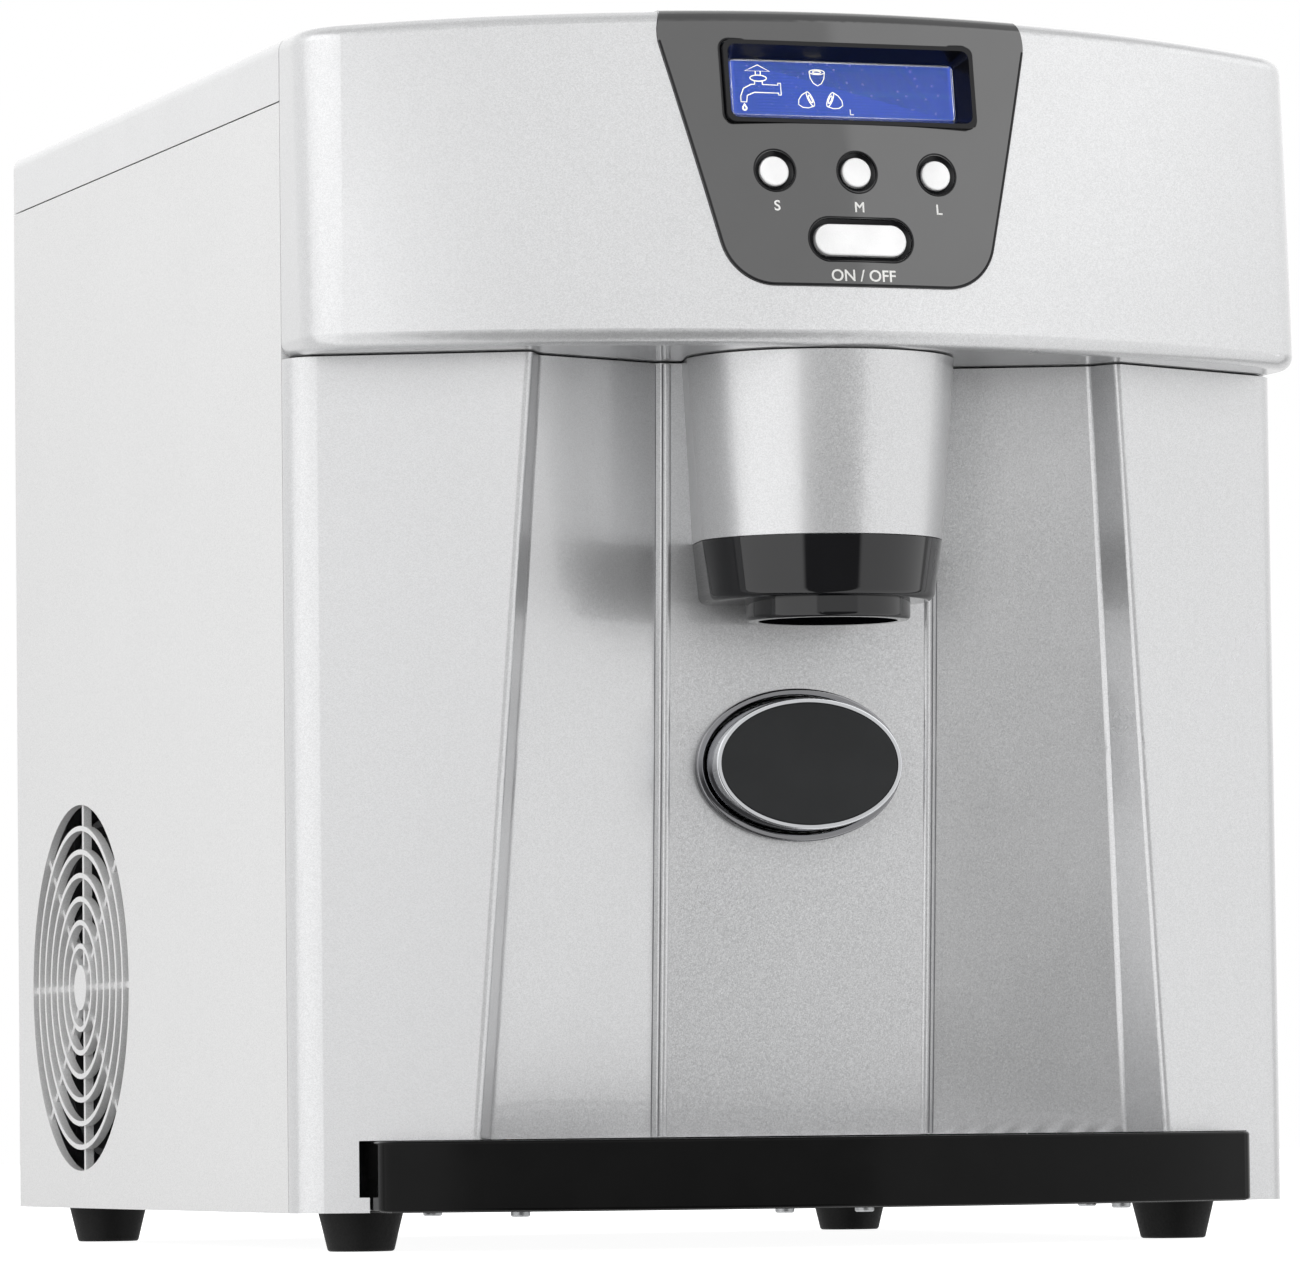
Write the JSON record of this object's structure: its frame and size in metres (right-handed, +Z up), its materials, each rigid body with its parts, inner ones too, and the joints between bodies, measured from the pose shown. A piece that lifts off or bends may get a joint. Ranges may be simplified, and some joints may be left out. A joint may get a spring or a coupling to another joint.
{
  "type": "countertop ice dispenser",
  "caption": "Countertop ice dispenser with a control head, ice and water spout over a glass bay, push paddle, drip tray, filling lid and working inner parts.",
  "frame": {"origin": "middle of the bounding box's underside, at the ground under the feet", "axes": "+X to the right seen from the front, +Y to the back, +Z up"},
  "size_m": [0.365, 0.448, 0.424],
  "materials": {
    "body_silver": "metallic paint, satin",
    "panel_grey": "light grey, satin",
    "cover_silver": "metallic paint, satin",
    "black_gloss": "polished black",
    "bright_chrome": "polished",
    "display_glass": "clear",
    "lid_glass": "smoked",
    "display_blue": "backlit",
    "button_silver": "satin",
    "dark_rubber": "matt",
    "pad_dark": "matt",
    "inner_white": "matt",
    "inner_grey": "matt",
    "inner_black": "matt",
    "stainless": "brushed",
    "zinc_steel": "zinc plated",
    "black_steel": "black enamel",
    "fin_aluminium": "plain",
    "copper": "plain copper",
    "board_green": "solder mask",
    "hose_clear": "silicone"
  },
  "bodies": {
    "housing": {"front_shell": "body_silver", "head_housing": "body_silver", "spout_housing": "body_silver", "left_side_panel": "panel_grey", "right_side_panel": "panel_grey", "top_cover": "cover_silver", "rear_panel": "panel_grey", "base_pan": "black_steel", "feet": "dark_rubber", "base_screws": "zinc_steel", "rear_screws": "zinc_steel", "power_inlet": "inner_black", "control_fascia": "black_gloss", "display_bezel": "black_gloss", "display_window": "display_glass", "display_module": "display_blue", "control_board": "board_green", "lid_hinge_pins": "zinc_steel", "spout_ring": "black_gloss", "ice_chute": "inner_white", "paddle_bezel": "bright_chrome", "paddle_guide": "inner_grey", "paddle_switch": "inner_black", "paddle_spring": "zinc_steel", "support_frame": "zinc_steel", "ice_bin": "inner_white", "auger_motor": "inner_grey", "water_tank": "inner_white", "ice_maker_bracket": "inner_grey", "evaporator": "bright_chrome", "tilt_motor": "inner_black", "circulation_pump": "inner_grey", "dispense_pump": "inner_grey", "fill_hose": "hose_clear", "dispense_hose": "hose_clear", "drain_hose": "hose_clear", "compressor": "black_steel", "compressor_mounts": "dark_rubber", "condenser": "fin_aluminium", "fan_motor": "zinc_steel", "fan_shroud": "inner_black", "refrigerant_tubes": "copper", "power_board": "board_green", "wiring_harness": "inner_black"},
    "button_s": {"button_s": "button_silver"},
    "button_m": {"button_m": "button_silver"},
    "button_l": {"button_l": "button_silver"},
    "button_on_off": {"button_on_off": "button_silver"},
    "paddle": {"paddle_rim": "bright_chrome", "paddle_pad": "pad_dark", "paddle_plunger": "inner_grey"},
    "lid": {"lid": "cover_silver", "lid_window": "lid_glass"},
    "drip_tray": {"drip_tray": "black_gloss", "drip_grate": "stainless"},
    "drain_cap": {"drain_cap": "dark_rubber"},
    "chute_door": {"chute_door": "inner_white"},
    "auger": {"auger": "stainless"},
    "fan": {"fan": "inner_black"},
    "freezing_tray": {"freezing_tray": "inner_white"}
  },
  "joints": [
    {"name": "button_s_press", "type": "slide", "parent": "housing", "child": "button_s", "axis": [0, 0.9867, -0.1623], "range_m": [0, 0.0008], "stiffness_N_per_m": 500, "springref_m": -0.0002},
    {"name": "button_m_press", "type": "slide", "parent": "housing", "child": "button_m", "axis": [0, 0.9867, -0.1623], "range_m": [0, 0.0008], "stiffness_N_per_m": 500, "springref_m": -0.0002},
    {"name": "button_l_press", "type": "slide", "parent": "housing", "child": "button_l", "axis": [0, 0.9867, -0.1623], "range_m": [0, 0.0008], "stiffness_N_per_m": 500, "springref_m": -0.0002},
    {"name": "button_on_off_press", "type": "slide", "parent": "housing", "child": "button_on_off", "axis": [0, 0.9867, -0.1623], "range_m": [0, 0.0008], "stiffness_N_per_m": 500, "springref_m": -0.0002},
    {"name": "paddle_push", "type": "slide", "parent": "housing", "child": "paddle", "axis": [0, 1, 0], "range_m": [0, 0.006], "stiffness_N_per_m": 300, "springref_m": -0.002, "deforming": ["paddle_spring"]},
    {"name": "lid_hinge", "type": "hinge", "parent": "housing", "child": "lid", "pos_m": [0, 0.08188, 0.41965], "axis": [-1, 0, 0], "range_deg": [0, 100]},
    {"name": "tray_slide", "type": "slide", "parent": "housing", "child": "drip_tray", "axis": [0, -1, 0], "range_m": [0, 0.11]},
    {"name": "cap_off", "type": "slide", "parent": "housing", "child": "drain_cap", "axis": [0, 1, 0], "range_m": [0, 0.02]},
    {"name": "chute_door_hinge", "type": "hinge", "parent": "housing", "child": "chute_door", "pos_m": [0, -0.16253, 0.2745], "axis": [-1, 0, 0], "range_deg": [0, 45], "stiffness_Nm_per_rad": 0.01, "springref_deg": -5.73},
    {"name": "auger_spin", "type": "hinge", "parent": "housing", "child": "auger", "pos_m": [0, -0.06053, 0.253], "axis": [0, 1, 0], "continuous": true},
    {"name": "fan_spin", "type": "hinge", "parent": "housing", "child": "fan", "pos_m": [-0.1625, 0.12978, 0.0953], "axis": [1, 0, 0], "continuous": true},
    {"name": "freezing_tray_tilt", "type": "hinge", "parent": "housing", "child": "freezing_tray", "pos_m": [0, 0.16348, 0.367], "axis": [1, 0, 0], "range_deg": [0, 60]}
  ]
}
